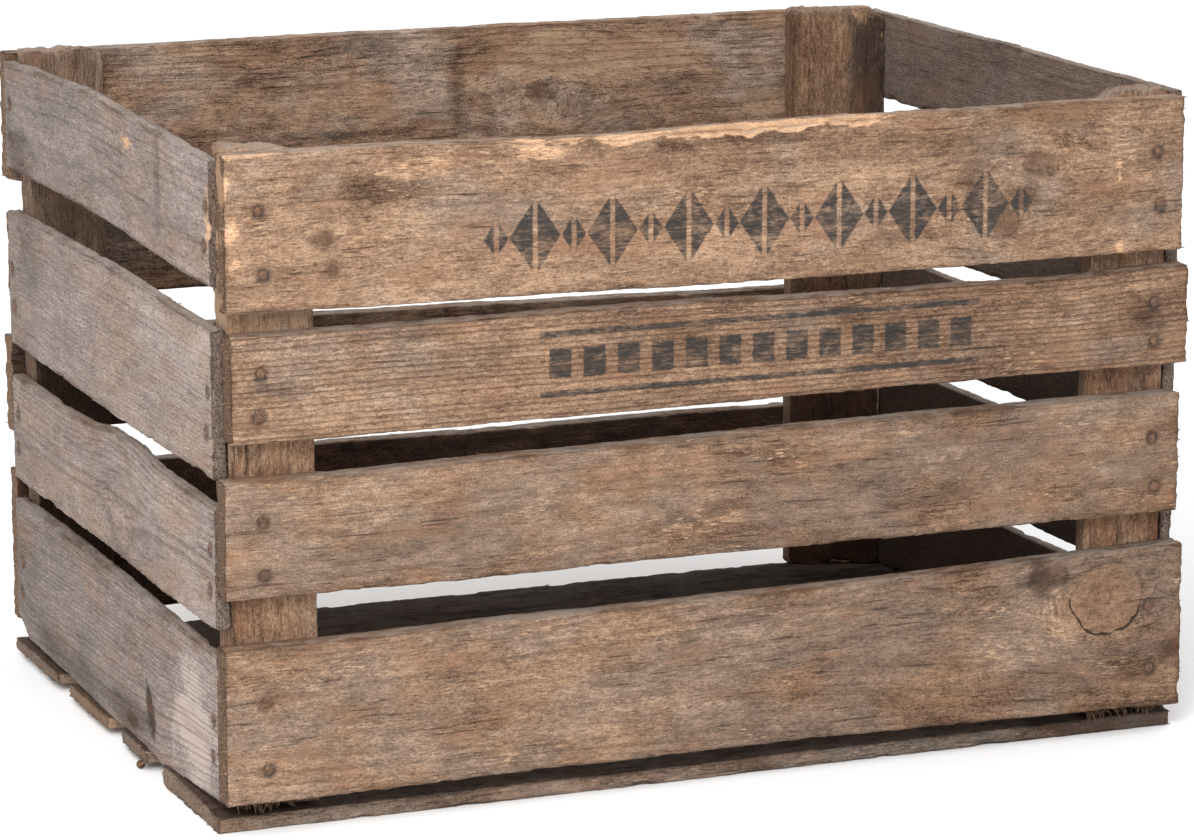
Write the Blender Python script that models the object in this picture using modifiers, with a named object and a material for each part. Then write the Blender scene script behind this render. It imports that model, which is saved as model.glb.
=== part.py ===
"""Wooden apple crate: sawn slats nailed round four corner posts, on four floor boards.

X runs along the long sides, Y from the front to the back and Z up. The origin is on the
ground, under the middle of the crate. Every board, post and nail is an object of its own.
"""

import math
from collections import namedtuple

import bmesh
import bpy
from mathutils import Vector

# Overall sizes and board stock, in metres.
LENGTH = 0.494  # along X, over the floor boards
DEPTH = 0.370  # along Y, over the long slats
SLAT_THICK = 0.012  # front and back slats
END_WIDTH = 0.490  # along X, over the outer faces of the end slats
END_THICK = 0.007  # left and right end slats
FLOOR_THICK = 0.010
GAP = 0.0003  # between pieces that touch
ARRIS = 0.0008  # eased edges of every sawn piece

# A slat's lower and upper edge in Z, then its two ends along its own length.
Slat = namedtuple("Slat", "low high start stop")
FRONT_SLATS = (
    Slat(0.2430, 0.3150, -0.2430, 0.2405),
    Slat(0.1852, 0.2327, -0.2410, 0.2445),
    Slat(0.1112, 0.1695, -0.2450, 0.2410),
    Slat(0.0154, 0.0924, -0.2460, 0.2445),
)
BACK_SLATS = (
    Slat(0.2430, 0.3160, -0.2440, 0.2435),
    Slat(0.1878, 0.2325, -0.2425, 0.2450),
    Slat(0.1185, 0.1660, -0.2450, 0.2430),
    Slat(0.0185, 0.0980, -0.2440, 0.2445),
)
END_REACH = DEPTH / 2 - SLAT_THICK - GAP  # the end slats stop at the long slats
LEFT_SLATS = (
    Slat(0.2537, 0.3122, -END_REACH, END_REACH),
    Slat(0.1663, 0.2343, -END_REACH, END_REACH),
    Slat(0.0974, 0.1533, -END_REACH, END_REACH),
    Slat(0.0103, 0.0876, -END_REACH, END_REACH),
)
RIGHT_SLATS = (
    Slat(0.2695, 0.3160, -END_REACH, END_REACH),
    Slat(0.1930, 0.2600, -END_REACH, END_REACH),
    Slat(0.1353, 0.1838, -END_REACH, END_REACH),
    Slat(0.0715, 0.1249, -END_REACH, END_REACH),
    Slat(0.0103, 0.0635, -END_REACH, END_REACH),
)

# A floor board's front and back edge in Y.
FLOOR_BOARDS = (
    (-0.1745, -0.0865),
    (-0.0620, -0.0185),
    (0.0040, 0.0725),
    (0.0910, 0.1720),
)

# A corner post is a wedge-cut batten: width along X, thick beside the end slats and thin
# at its inner arris. side_x and side_y say which corner it stands in.
Post = namedtuple("Post", "name side_x side_y width thick thin top")
POSTS = (
    Post("front_left", -1, -1, 0.0410, 0.020, 0.009, 0.3170),
    Post("front_right", 1, -1, 0.0415, 0.022, 0.009, 0.3180),
    Post("back_left", -1, 1, 0.0430, 0.021, 0.008, 0.3190),
    Post("back_right", 1, 1, 0.0470, 0.027, 0.009, 0.3190),
)

# Nails: round wire nails with flat heads, driven just under the surface.
NAIL_LENGTH = 0.025
HEAD_RADIUS = 0.0025
HEAD_THICK = 0.0009
HEAD_SINK = 0.0004  # the head's top below the wood's face
SHANK_RADIUS = 0.0011
NAIL_SIDES = 12
HOLE_RISE = 0.002  # how far a hole's cutter stands out of the face
LONG_NAIL_X = 0.226  # how far from the middle the long slats are nailed
END_NAIL_Y = 0.163  # how far from the middle the end slats are nailed
# How high up each slat its nail sits, so that nails driven at right angles miss each other.
LONG_NAIL_HEIGHT = 0.64
LEFT_NAIL_HEIGHT = 0.30
RIGHT_NAIL_HEIGHT = 0.50

# The lowest left slat has lost its back lower corner.
CHIP_ALONG = 0.030
CHIP_UP = 0.010
CHIP_CUTTER = Vector((0.030, 0.050, 0.030))

MERGE = 0.00001


def empty_the_scene():
    for obj in list(bpy.data.objects):
        bpy.data.objects.remove(obj, do_unlink=True)


def new_collection(name):
    made = bpy.data.collections.new(name)
    bpy.context.scene.collection.children.link(made)
    return made


def principled(name, colour, roughness, metallic=0.0):
    made = bpy.data.materials.new(name)
    made.use_nodes = True
    shader = made.node_tree.nodes["Principled BSDF"]
    shader.inputs["Base Color"].default_value = (*colour, 1.0)
    shader.inputs["Roughness"].default_value = roughness
    shader.inputs["Metallic"].default_value = metallic
    return made


def add_object(name, mesh, material, collection):
    obj = bpy.data.objects.new(name, mesh)
    if material:
        mesh.materials.append(material)
    collection.objects.link(obj)
    return obj


def box_mesh(name, size):
    mesh = bpy.data.meshes.new(name)
    solid = bmesh.new()
    bmesh.ops.create_cube(solid, size=1.0)
    bmesh.ops.scale(solid, vec=size, verts=solid.verts)
    solid.to_mesh(mesh)
    solid.free()
    return mesh


def ease_arrises(obj):
    bevel = obj.modifiers.new("eased arrises", "BEVEL")
    bevel.width = ARRIS
    bevel.segments = 1
    bevel.limit_method = "ANGLE"


def add_board(name, low, high, material, collection):
    """A sawn board that fills the box between two corners."""
    obj = add_object(name, box_mesh(name, high - low), material, collection)
    obj.location = (low + high) / 2
    ease_arrises(obj)
    return obj


def add_post(post, material, collection):
    """A wedge-cut batten that stands on the floor boards in one corner."""
    name = "corner_post_" + post.name
    outer_x = END_WIDTH / 2 - END_THICK - GAP
    face_y = DEPTH / 2 - SLAT_THICK - GAP
    foot = FLOOR_THICK + GAP
    place = Vector((
        post.side_x * (outer_x - post.width / 2),
        post.side_y * (face_y - post.thick / 2),
        (foot + post.top) / 2,
    ))
    mesh = box_mesh(name, Vector((1.0, 1.0, post.top - foot)))
    for vertex in mesh.vertices:
        inwards = vertex.co.x + 0.5
        across = vertex.co.y + 0.5
        thick = post.thick + (post.thin - post.thick) * inwards
        vertex.co.x = post.side_x * (outer_x - inwards * post.width) - place.x
        vertex.co.y = post.side_y * (face_y - across * thick) - place.y
    if post.side_x * post.side_y < 0:
        mesh.flip_normals()
    obj = add_object(name, mesh, material, collection)
    obj.location = place
    ease_arrises(obj)
    return obj


def profile_mesh(name, points):
    """An open outline in the XZ plane, from the axis round to the axis again."""
    mesh = bpy.data.meshes.new(name)
    edges = [(i, i + 1) for i in range(len(points) - 1)]
    mesh.from_pydata([(radius, 0.0, height) for radius, height in points], edges, [])
    return mesh


def turn(obj):
    screw = obj.modifiers.new("turned", "SCREW")
    screw.axis = "Z"
    screw.steps = NAIL_SIDES
    screw.render_steps = NAIL_SIDES
    screw.use_merge_vertices = True
    screw.merge_threshold = MERGE
    screw.use_smooth_shade = False


def nail_profile():
    under_head = -HEAD_SINK - HEAD_THICK
    return (
        (0.0, -HEAD_SINK),
        (HEAD_RADIUS, -HEAD_SINK),
        (HEAD_RADIUS, under_head),
        (SHANK_RADIUS, under_head),
        (SHANK_RADIUS, -NAIL_LENGTH + 2 * SHANK_RADIUS),
        (0.0, -NAIL_LENGTH),
    )


def hole_profile():
    pocket = -HEAD_SINK - HEAD_THICK - GAP
    return (
        (0.0, HOLE_RISE),
        (HEAD_RADIUS + GAP, HOLE_RISE),
        (HEAD_RADIUS + GAP, pocket),
        (SHANK_RADIUS + GAP, pocket),
        (SHANK_RADIUS + GAP, -NAIL_LENGTH - GAP),
        (0.0, -NAIL_LENGTH - GAP),
    )


def add_turned(name, mesh, place, drive, collection):
    """A turned piece whose top is at place and whose length runs along drive."""
    obj = bpy.data.objects.new(name, mesh)
    collection.objects.link(obj)
    obj.location = place
    obj.rotation_mode = "QUATERNION"
    obj.rotation_quaternion = Vector((0.0, 0.0, -1.0)).rotation_difference(drive)
    turn(obj)
    return obj


def cut(obj, cutter):
    boolean = obj.modifiers.new("cut " + cutter.name, "BOOLEAN")
    boolean.operation = "DIFFERENCE"
    boolean.solver = "EXACT"
    boolean.object = cutter


def hide_cutter(cutter):
    cutter.hide_render = True
    cutter.display_type = "WIRE"


def drive_nail(name, place, drive, pieces, parts, cutters, meshes):
    """One nail, with its clearance hole through every piece that it holds."""
    add_turned("nail_" + name, meshes["nail"], place, drive, parts)
    hole = add_turned("hole_" + name, meshes["hole"], place, drive, cutters)
    hide_cutter(hole)
    for piece in pieces:
        cut(piece, hole)


def long_slats(side, side_y, slats, material, posts, parts, cutters, meshes):
    """The slats of one long side, each nailed to the post at either end."""
    outer = side_y * DEPTH / 2
    inner = side_y * (DEPTH / 2 - SLAT_THICK)
    for number, slat in enumerate(slats, 1):
        name = f"{side}_slat_{number}"
        low = Vector((slat.start, min(outer, inner), slat.low))
        high = Vector((slat.stop, max(outer, inner), slat.high))
        board = add_board(name, low, high, material, parts)
        height = slat.low + (slat.high - slat.low) * LONG_NAIL_HEIGHT
        for end, side_x in (("left", -1), ("right", 1)):
            place = Vector((side_x * LONG_NAIL_X, outer, height))
            drive = Vector((0.0, -side_y, 0.0))
            held = (board, posts[side_x, side_y])
            drive_nail(f"{name}_{end}", place, drive, held, parts, cutters, meshes)


def end_slats(side, side_x, slats, nail_height, material, posts, parts, cutters, meshes):
    """The slats of one short end, each nailed to the post at its front and back."""
    outer = side_x * END_WIDTH / 2
    inner = side_x * (END_WIDTH / 2 - END_THICK)
    boards = []
    for number, slat in enumerate(slats, 1):
        name = f"{side}_slat_{number}"
        low = Vector((min(outer, inner), slat.start, slat.low))
        high = Vector((max(outer, inner), slat.stop, slat.high))
        board = add_board(name, low, high, material, parts)
        boards.append(board)
        height = slat.low + (slat.high - slat.low) * nail_height
        for end, side_y in (("front", -1), ("back", 1)):
            place = Vector((outer, side_y * END_NAIL_Y, height))
            drive = Vector((-side_x, 0.0, 0.0))
            held = (board, posts[side_x, side_y])
            drive_nail(f"{name}_{end}", place, drive, held, parts, cutters, meshes)
    return boards


def floor_boards(material, parts):
    for number, (front, back) in enumerate(FLOOR_BOARDS, 1):
        low = Vector((-LENGTH / 2, front, 0.0))
        high = Vector((LENGTH / 2, back, FLOOR_THICK))
        add_board(f"floor_board_{number}", low, high, material, parts)


def chip_corner(board, slat, cutters):
    """Break the back lower corner off an end slat, along a slope."""
    slope = math.atan2(CHIP_UP, CHIP_ALONG)
    middle = Vector((
        board.location.x,
        slat.stop - CHIP_ALONG / 2,
        slat.low + CHIP_UP / 2,
    ))
    normal = Vector((0.0, -math.sin(slope), math.cos(slope)))
    mesh = box_mesh("chip", CHIP_CUTTER)
    cutter = add_object("chip_" + board.name, mesh, None, cutters)
    cutter.location = middle - normal * CHIP_CUTTER.z / 2
    cutter.rotation_euler = (slope, 0.0, 0.0)
    hide_cutter(cutter)
    cut(board, cutter)


def main():
    empty_the_scene()
    parts = new_collection("wooden_apple_crate")
    cutters = new_collection("cutters")
    tan_wood = principled("tan_wood", (0.36, 0.25, 0.16), 0.85)
    grey_wood = principled("grey_wood", (0.33, 0.28, 0.24), 0.90)
    brown_wood = principled("brown_wood", (0.24, 0.16, 0.11), 0.88)
    rusty_steel = principled("rusty_steel", (0.14, 0.08, 0.06), 0.75, 0.4)
    meshes = {
        "nail": profile_mesh("nail", nail_profile()),
        "hole": profile_mesh("hole", hole_profile()),
    }
    meshes["nail"].materials.append(rusty_steel)
    posts = {}
    for post in POSTS:
        posts[post.side_x, post.side_y] = add_post(post, brown_wood, parts)
    shared = (posts, parts, cutters, meshes)
    long_slats("front", -1, FRONT_SLATS, tan_wood, *shared)
    long_slats("back", 1, BACK_SLATS, brown_wood, *shared)
    left = end_slats("left", -1, LEFT_SLATS, LEFT_NAIL_HEIGHT, grey_wood, *shared)
    end_slats("right", 1, RIGHT_SLATS, RIGHT_NAIL_HEIGHT, grey_wood, *shared)
    floor_boards(brown_wood, parts)
    chip_corner(left[-1], LEFT_SLATS[-1], cutters)


main()
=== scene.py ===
"""The looks of the old wooden apple crate: weathered boards, rusty nails, studio floor and light.

Every board of the CAD frame is rebuilt here as a dense closed mesh with worn arrises, wavy
sawn edges, ragged ends, dents, knots and splinters.  Each board carries its own grain as
mesh attributes, which the wood materials turn into growth rings, fibres and weathering.
Lengths are in metres where nothing else is said; mm() turns millimetres into metres.
"""

import math

import bpy
import numpy as np
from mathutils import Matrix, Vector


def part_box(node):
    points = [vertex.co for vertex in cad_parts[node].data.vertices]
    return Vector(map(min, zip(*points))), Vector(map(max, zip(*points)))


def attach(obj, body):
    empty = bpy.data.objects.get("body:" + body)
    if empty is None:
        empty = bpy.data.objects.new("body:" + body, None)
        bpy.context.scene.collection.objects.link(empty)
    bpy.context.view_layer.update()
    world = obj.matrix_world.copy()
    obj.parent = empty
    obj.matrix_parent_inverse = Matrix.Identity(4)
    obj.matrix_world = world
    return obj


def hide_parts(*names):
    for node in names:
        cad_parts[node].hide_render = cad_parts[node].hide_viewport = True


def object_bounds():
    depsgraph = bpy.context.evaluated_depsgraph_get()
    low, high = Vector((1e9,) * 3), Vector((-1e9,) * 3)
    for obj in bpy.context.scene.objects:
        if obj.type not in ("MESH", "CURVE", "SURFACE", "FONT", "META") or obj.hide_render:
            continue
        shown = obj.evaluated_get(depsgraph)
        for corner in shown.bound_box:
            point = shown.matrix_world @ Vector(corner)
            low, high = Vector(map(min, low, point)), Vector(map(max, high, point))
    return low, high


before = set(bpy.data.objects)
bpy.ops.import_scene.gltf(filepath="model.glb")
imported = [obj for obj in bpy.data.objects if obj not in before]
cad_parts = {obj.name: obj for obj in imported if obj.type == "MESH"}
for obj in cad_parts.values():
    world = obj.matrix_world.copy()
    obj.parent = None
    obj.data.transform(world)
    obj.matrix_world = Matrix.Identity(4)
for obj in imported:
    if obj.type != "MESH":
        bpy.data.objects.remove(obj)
CAD_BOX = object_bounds()


def mm(value):
    return value * 0.001


# ---- Noise for the meshes


def lattice_value(cell, seed):
    """A repeatable pseudo-random number from -1 to 1 for each whole-number cell."""
    mixed = cell[:, 0] * 374761393 + cell[:, 1] * 668265263 + cell[:, 2] * 1442695041 + seed * 974634777
    mixed &= 0xFFFFFFFF
    mixed = ((mixed ^ (mixed >> 13)) * 1274126177) & 0xFFFFFFFF
    return ((mixed ^ (mixed >> 16)) & 0xFFFF) / 32767.5 - 1.0


def noise(points, size, seed, octaves):
    """Smooth noise from about -1 to 1. size is the feature size along each of the three axes."""
    scaled = points / np.asarray(size, float)
    total = np.zeros(len(points))
    for octave in range(octaves):
        p = scaled * 2**octave
        cell = np.floor(p).astype(np.int64)
        t = p - cell
        t = t * t * (3 - 2 * t)
        for corner in np.ndindex(2, 2, 2):
            weight = np.prod(np.where(corner, t, 1 - t), axis=1)
            total += weight * lattice_value(cell + corner, seed + 17 * octave) * 0.55**octave
    return total


def along(u, size, seed, octaves=2):
    """Noise along one line."""
    points = np.zeros((len(u), 3))
    points[:, 0] = u
    points[:, 1] = 0.37
    return noise(points, (size, 1, 1), seed, octaves)


def smooth(value, low, high):
    t = np.clip((value - low) / (high - low), 0, 1)
    return t * t * (3 - 2 * t)


def bell(value, width):
    """1 at nought, falling to nought a couple of widths away."""
    return np.exp(-((value / width) ** 2))


# ---- Boards

RIM = mm(1.0)  # radius of the rounded arrises
CLOSEST_LINES = mm(0.12)  # mesh lines nearer than this are merged
COARSE, FINE = (mm(2.4), mm(2.1), mm(1.7)), (mm(2.0), mm(1.6), mm(1.3))  # mesh spacing along u, v and w


def stations(length, step):
    """Where the mesh lines cross a side: close together at the rounded rim, even between."""
    count = max(2, int(round((length - 2 * RIM) / step)))
    middle = np.linspace(RIM, length - RIM, count + 1)
    values = np.concatenate([middle, [0, 0.4 * RIM, length - 0.4 * RIM, length]])
    values = np.unique(np.round(values, 6))
    values = values[np.concatenate([[True], np.diff(values) > CLOSEST_LINES])]
    values[-1] = length
    return values


def box_surface(us, vs, ws):
    """The points and outward quads of a closed box whose skin is cut by the given lines."""
    shape = (len(us), len(vs), len(ws))
    skin = np.zeros(shape, bool)
    skin[[0, -1]] = skin[:, [0, -1]] = skin[:, :, [0, -1]] = True
    index = np.full(shape, -1)
    index[skin] = np.arange(skin.sum())
    i, j, k = np.nonzero(skin)
    quads = []
    for axis in range(3):
        for end in (0, -1):
            grid = np.take(index, end, axis)
            quad = np.stack([grid[:-1, :-1], grid[1:, :-1], grid[1:, 1:], grid[:-1, 1:]], -1).reshape(-1, 4)
            outward = (end == -1) != (axis == 1)
            quads.append(quad if outward else quad[:, ::-1])
    return np.stack([us[i], vs[j], ws[k]], 1), np.concatenate(quads)


def corners(node):
    """The lowest and highest corners of a CAD solid."""
    low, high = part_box(node)
    return np.array(low), np.array(high)


WAVE, RIPPLE, BOW = mm(0.5), mm(0.16), mm(0.35)  # long and short waves of the sawn edges, bow of the face
ROUGH, GRITTY = mm(0.16), mm(0.09)  # broad and fine relief of the skin
CHIP, CRUMB, ARRIS_REACH = mm(1.7), mm(0.5), mm(1.7)  # how deep the arrises are chipped, and how far in
END_JAG, END_PULL, END_REACH = mm(0.5), mm(0.3), mm(3.0)  # how the sawn ends are frayed
DENT_RADIUS, DENT_DEPTH = mm(4.0), mm(0.5)  # under each nail
RUST_RING, RUST_RING_WIDTH, RUST_HALO = mm(2.5), mm(1.2), mm(5.0)  # round each nail's head
CRACK_FAR = mm(9)  # beyond this, a point counts as away from the crack
CRACK_DEPTH, CRACK_WIDTH = mm(0.9), mm(1.3)


class Board:
    """One piece of wood between two corners of the crate.

    Its own axes are u along the grain, v across the face and w from the hidden face to the
    outer one; `axes` gives the crate axis and the direction of each.
    """

    def __init__(self, node, axes, seed, steps=COARSE):
        low, high = corners(node)
        self.node, self.seed = node, seed
        self.rotation = np.zeros((3, 3))
        self.origin = np.zeros(3)
        for row, (axis, sign) in enumerate(axes):
            self.rotation[row, axis] = sign
            self.origin[axis] = low[axis] if sign > 0 else high[axis]
        self.size = np.abs(self.rotation) @ (high - low)
        self.flip = np.linalg.det(self.rotation) < 0
        self.rest, self.quads = box_surface(*(stations(*pair) for pair in zip(self.size, steps)))
        core = np.clip(self.rest, RIM, self.size - RIM)
        away = self.rest - core
        self.normal = away / np.maximum(np.linalg.norm(away, axis=1), 1e-9)[:, None]
        self.points = core + self.normal * RIM
        gaps = np.minimum(self.rest, self.size - self.rest)
        self.edge = np.sort(gaps, axis=1)[:, 1]
        self.end = gaps[:, 0]
        self.outer = self.rest[:, 2] > self.size[2] * 0.5
        self.hidden = self.rest[:, 2] < self.size[2] * 0.5
        zeros = np.zeros(len(self.rest))
        self.marks = {kind: zeros.copy() for kind in ("knot", "rust", "raw", "light", "weather", "soil")}
        self.crack = np.stack([zeros + 1.0, zeros], 1)

    def wear(self, waviness=1.0, chips=1.0, ends=1.0):
        """Sawn-edge waves, rough faces, chipped arrises and ragged ends, each times its factor.

        The sizes of the noise along u, v and w are in metres.
        """
        u, v, _ = self.rest.T
        share = v / self.size[1]
        top = along(u, 0.09, self.seed + 1) * WAVE + along(u, 0.011, self.seed + 2) * RIPPLE
        bottom = along(u, 0.10, self.seed + 3) * WAVE + along(u, 0.010, self.seed + 4) * RIPPLE
        shift = np.zeros_like(self.points)
        shift[:, 1] += waviness * (bottom * (1 - share) + top * share)
        shift[:, 2] += waviness * BOW * along(u, 0.15, self.seed + 5)
        rough = noise(self.rest, (0.028, 0.0035, 0.0035), self.seed + 6, 3) * ROUGH
        rough += noise(self.rest, (0.006, 0.0022, 0.0022), self.seed + 7, 2) * GRITTY
        shift += self.normal * rough[:, None]
        bite = smooth(noise(self.rest, (0.014, 0.008, 0.005), self.seed + 8, 2), 0.42, 0.95)
        near = bell(self.edge, ARRIS_REACH)
        shift -= self.normal * (chips * CHIP * bite * near)[:, None]
        small = np.abs(noise(self.rest, (0.0045, 0.003, 0.003), self.seed + 9, 2))
        shift -= self.normal * (chips * CRUMB * small * near)[:, None]
        self.marks["raw"] = np.maximum(self.marks["raw"], 0.7 * bite * bell(self.edge, mm(3.0)))
        jag = noise(self.rest, (0.01, 0.0032, 0.0026), self.seed + 10, 3)
        side = np.where(u < self.size[0] / 2, 1.0, -1.0)
        shift[:, 0] += side * np.exp(-self.end / END_REACH) * ends * (END_JAG * jag + END_PULL)
        self.points += shift

    def profile(self, top, bottom):
        """Bends the two long edges: each list holds (place along, rise) pairs in millimetres."""
        share = self.rest[:, 1] / self.size[1]
        for pairs, weight in ((top, share), (bottom, 1 - share)):
            if pairs:
                places, rises = np.array(pairs).T * mm(1)
                self.points[:, 1] += weight * np.interp(self.rest[:, 0], places, rises)

    def dent(self, u0, v0):
        """A nail's dimple in the outer face, and the stain around it."""
        distance = np.hypot(self.rest[:, 0] - u0, self.rest[:, 1] - v0)
        self.points[:, 2] -= np.where(self.outer, DENT_DEPTH * bell(distance, DENT_RADIUS), 0)
        ring = bell(distance - RUST_RING, RUST_RING_WIDTH)
        halo = np.where(self.outer, 1.1 * ring + 0.35 * np.exp(-((distance / RUST_HALO) ** 1.5)), 0)
        self.marks["rust"] = np.maximum(self.marks["rust"], halo)

    def stain(self, kind, u0, v0, reach_u, reach_v, strength, inside=False):
        """Adds a soft-edged, uneven patch of one mark to the outer face, or to the hidden one.

        The middle and the reach, along and across, are in millimetres.
        """
        u0, v0, reach_u, reach_v = mm(u0), mm(v0), mm(reach_u), mm(reach_v)
        away = np.hypot((self.rest[:, 0] - u0) / reach_u, (self.rest[:, 1] - v0) / reach_v)
        away += 0.30 * noise(self.rest, (reach_u * 0.5, reach_v * 0.5, 1), self.seed + 51, 3)
        face = self.hidden if inside else self.outer
        self.marks[kind] += np.where(face, strength * smooth(away, 1.25, 0.35), 0)

    def arc_crack(self, u0, v0, radius, start, stop):
        """A curved crack in the outer face, part of a circle between two angles in degrees."""
        u, v, _ = self.rest.T
        angle = np.degrees(np.arctan2(v - v0, u - u0)) % 360
        wander = mm(1.0) * noise(self.rest, (mm(7), mm(7), 1), self.seed + 52, 3)
        distance = np.hypot(u - u0, v - v0) - radius + wander
        span = smooth(angle, start, start + 45) * smooth(angle, stop, stop - 35) * self.outer
        self.crack = np.stack([np.where(np.abs(distance) < CRACK_FAR, distance, CRACK_FAR), span], 1)
        self.points[:, 2] -= CRACK_DEPTH * span * bell(distance, CRACK_WIDTH)

    def break_edge(self, start, stop, depth, seed):
        """The upper outer arris has split away between start and stop, leaving raw wood."""
        u, v, w = self.rest.T
        length = smooth(u, start, start + mm(25)) * smooth(u, stop, stop - mm(25))
        deep = depth * length * (0.55 + 0.45 * along(u, 0.016, seed, 3))
        from_arris = (self.size[1] - v) + 0.8 * (self.size[2] - w)
        amount = np.clip(deep - from_arris, 0, None)
        self.points[:, 1] -= amount * 0.45
        self.points[:, 2] -= amount * 0.60
        self.marks["raw"] += 1.2 * smooth(deep - from_arris, -mm(0.6), mm(0.6))

    def to_crate(self, local):
        return self.origin + np.asarray(local) @ self.rotation


def grain_fields(board, pith, spacing, taper, wobble, knots=()):
    """Grain coordinates bent round the knots, and the growth-ring number at each point.

    Lengths are in millimetres: the pith's place across and below the board, the rings' spacing
    and the grain's wobble.  A knot is its place along and across, its radius, how far round it
    the grain bends, and whether it shows on the hidden face too.
    """
    spacing, wobble = mm(spacing), mm(wobble)
    u, v, w = board.rest.T
    bent = v.copy()
    lift = np.zeros(len(u))
    for ku, kv, radius, swirl, through in knots:
        ku, kv, radius, swirl = mm(ku), mm(kv), mm(radius), mm(swirl)
        du, dv = u - ku, v - kv
        reach = np.exp(-((du / (2.6 * swirl)) ** 2) - (dv / (2.4 * swirl)) ** 2)
        bent -= 0.55 * swirl * np.tanh(dv / (0.9 * swirl)) * reach
        lift += 0.6 * swirl * reach
        wavy = 1 + 0.16 * noise(board.rest, (0.7 * radius, 0.7 * radius, radius), board.seed + 41, 2)
        distance = np.hypot(du, dv * 1.15) / radius * wavy
        distance = distance + (0 if through else 2.0) * board.hidden
        board.marks["knot"] = np.maximum(board.marks["knot"], np.clip(1.5 - distance, 0, 1.5) / 1.5)
    flow = along(u, 0.11, board.seed + 42, 2) * wobble
    flow = flow + noise(board.rest, (0.05, 0.018, 0.018), board.seed + 43, 2) * wobble * 0.5
    from_pith = np.hypot(bent + flow - mm(pith[0]), w - mm(pith[1]))
    rings = (from_pith + taper * u + lift * 0.35) / spacing
    offset = np.array([lattice_value(np.array([[board.seed, k, 7]]), 5)[0] for k in range(3)])
    grain = np.stack([u, bent + flow, w], 1) + offset * 3.0
    return grain, rings + 40.0


SLIVER_STEPS = 5


def sliver(root, direction, lift, length, width, thick):
    """A closed four-sided splinter, rooted in the wood and curling up to its tip."""
    steps = SLIVER_STEPS
    direction = direction / np.linalg.norm(direction)
    side = np.cross(direction, lift)
    side /= np.linalg.norm(side)
    rows = []
    for step in range(steps):
        t = step / (steps - 1)
        centre = root + direction * (length * (t - 0.25)) + lift * (length * 0.16 * t * t)
        taper = (1 - t) ** 0.7 + 0.05
        across, up = side * width * 0.5 * taper, lift * thick * 0.5 * taper
        rows.append([centre - across - up, centre + across - up, centre + across + up, centre - across + up])
    points = np.array(rows).reshape(-1, 3)
    quads = [[3, 2, 1, 0], [4 * steps - 4, 4 * steps - 3, 4 * steps - 2, 4 * steps - 1]]
    for step in range(steps - 1):
        for k in range(4):
            a, b = 4 * step + k, 4 * step + (k + 1) % 4
            quads.append([a, b, b + 4, a + 4])
    return points, np.array(quads)


def join(meshes):
    """Joins (points, quads) pairs into one mesh."""
    starts = np.cumsum([0] + [len(points) for points, _ in meshes[:-1]])
    return (np.concatenate([points for points, _ in meshes]),
            np.concatenate([quads + start for (_, quads), start in zip(meshes, starts)]))


def place_object(name, data):
    """A new object in the scene."""
    obj = bpy.data.objects.new(name, data)
    bpy.context.scene.collection.objects.link(obj)
    return obj


def make_object(name, points, quads, material, nodes, fields=None):
    """A smooth-shaded mesh object that rides on the crate and stands for the named CAD nodes."""
    mesh = bpy.data.meshes.new(name)
    mesh.from_pydata(points.tolist(), [], quads.tolist())
    for key, values in (fields or {}).items():
        kind = "FLOAT" if values.ndim == 1 else "FLOAT_VECTOR"
        attribute = mesh.attributes.new(key, kind, "POINT")
        part = "value" if values.ndim == 1 else "vector"
        attribute.data.foreach_set(part, values.astype(np.float32).ravel())
    mesh.polygons.foreach_set("use_smooth", [True] * len(mesh.polygons))
    mesh.materials.append(material)
    mesh.validate()
    obj = place_object(name, mesh)
    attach(obj, "root")
    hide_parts(*nodes)


# ---- Materials


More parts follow.
